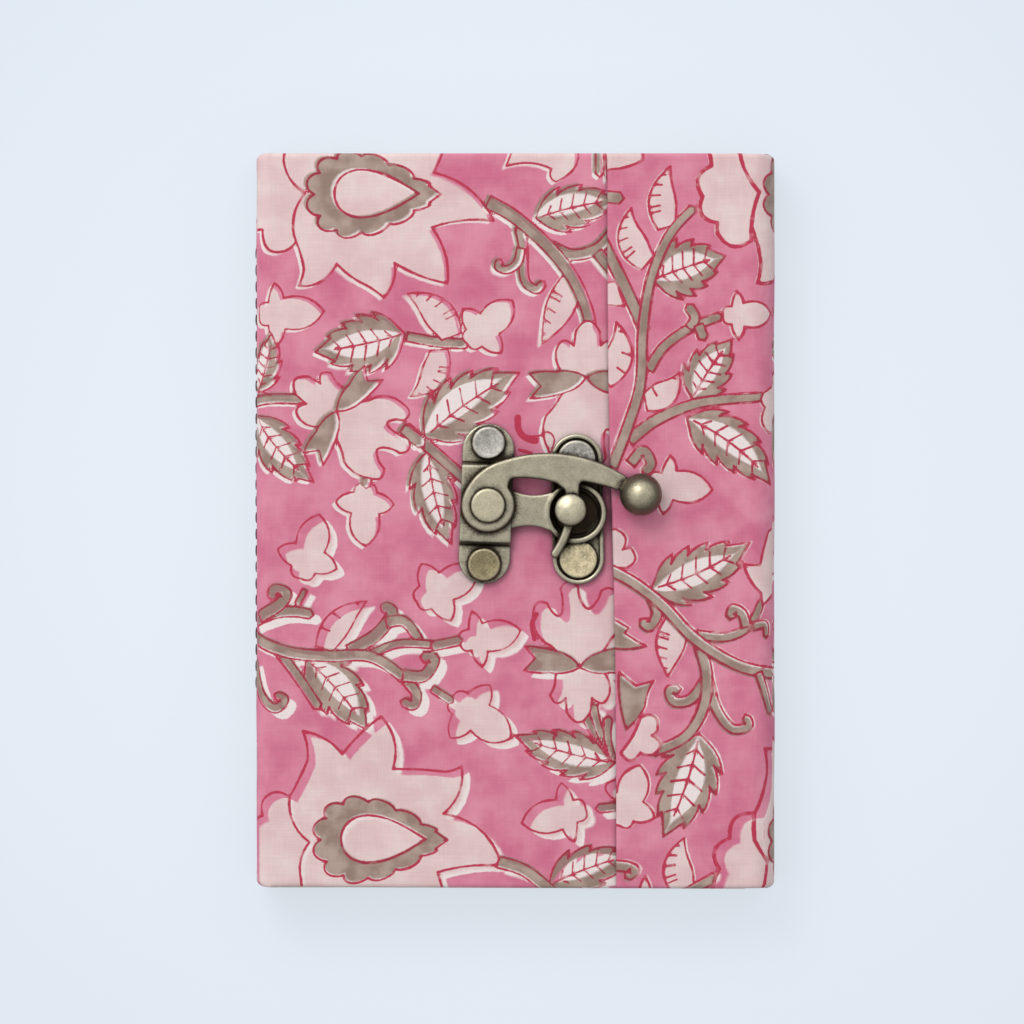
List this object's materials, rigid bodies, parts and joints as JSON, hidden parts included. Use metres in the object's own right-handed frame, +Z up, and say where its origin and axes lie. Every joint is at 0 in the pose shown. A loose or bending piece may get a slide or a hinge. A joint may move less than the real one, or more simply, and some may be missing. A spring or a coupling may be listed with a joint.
{
  "type": "diary with lock",
  "caption": "Cloth-covered handmade diary with sewn gatherings, a wrap-around fore edge flap and a brass swing clasp whose lever hooks through a post and holds the flap shut.",
  "frame": {"origin": "on the table, under the middle of the closed diary", "axes": "+X from the spine to the fore edge, +Y from tail to head, +Z up out of the front cover"},
  "size_m": [0.126, 0.178, 0.0331],
  "materials": {
    "printed_cotton": "hand block printed plain-weave cotton, pink ground",
    "grey_card": "raw grey card",
    "lining_paper": "handmade lining paper",
    "handmade_paper": "handmade cotton paper",
    "waxed_thread": "dark waxed thread",
    "antique_brass": "antiqued cast brass",
    "nickel_rivet": "pressed rivet caps, worn"
  },
  "bodies": {
    "book_block": {"back_board": "grey_card", "back_cloth": "printed_cotton", "back_lining": "lining_paper", "lower_fold": "printed_cotton", "spine_card": "grey_card", "spine_cloth": "printed_cotton", "front_hinge_cloth": "printed_cotton", "spine_stitches": "waxed_thread", "gathering_1": "handmade_paper", "gathering_2": "handmade_paper", "gathering_3": "handmade_paper", "gathering_4": "handmade_paper", "gathering_5": "handmade_paper", "gathering_6": "handmade_paper"},
    "front_cover": {"front_board": "grey_card", "front_cloth": "printed_cotton", "front_lining": "lining_paper", "hasp_plate": "antique_brass", "catch_plate": "antique_brass", "catch_post": "antique_brass", "plate_rivets": "nickel_rivet", "rivet_backs": "nickel_rivet", "pivot_rivet": "antique_brass"},
    "lever": {"swing_lever": "antique_brass"},
    "leaf": {"flyleaf": "handmade_paper"},
    "fore_edge": {"fore_edge_card": "grey_card", "fore_edge_cloth": "printed_cotton", "fore_edge_lining": "lining_paper", "upper_fold": "printed_cotton"},
    "flap": {"flap_card": "grey_card", "flap_cloth": "printed_cotton", "flap_lining": "lining_paper"}
  },
  "joints": [
    {"name": "lever_swing", "type": "hinge", "parent": "front_cover", "child": "lever", "pos_m": [-0.0064, 0.0038, 0.0235], "axis": [0, 0, 1], "range_deg": [0, 110]},
    {"name": "flap_open", "type": "hinge", "parent": "fore_edge", "child": "flap", "pos_m": [0.06198, 0, 0.02142], "axis": [0, 1, 0], "range_deg": [0, 90], "deforming": ["flap_card", "flap_cloth", "flap_lining", "upper_fold"]},
    {"name": "fore_edge_open", "type": "hinge", "parent": "book_block", "child": "fore_edge", "pos_m": [0.06198, 0, 0.00103], "axis": [0, 1, 0], "range_deg": [0, 90], "deforming": ["lower_fold"]},
    {"name": "front_cover_open", "type": "hinge", "parent": "book_block", "child": "front_cover", "pos_m": [-0.0615, 0, 0.01895], "axis": [0, -1, 0], "range_deg": [0, 175], "deforming": ["front_hinge_cloth"]},
    {"name": "flyleaf_turn", "type": "hinge", "parent": "book_block", "child": "leaf", "pos_m": [-0.0615, 0, 0.01895], "axis": [0, -1, 0], "range_deg": [0, 168]}
  ],
  "couplings": [
    {"joint": "flyleaf_turn", "follows": "front_cover_open", "ratio": 0.95}
  ]
}
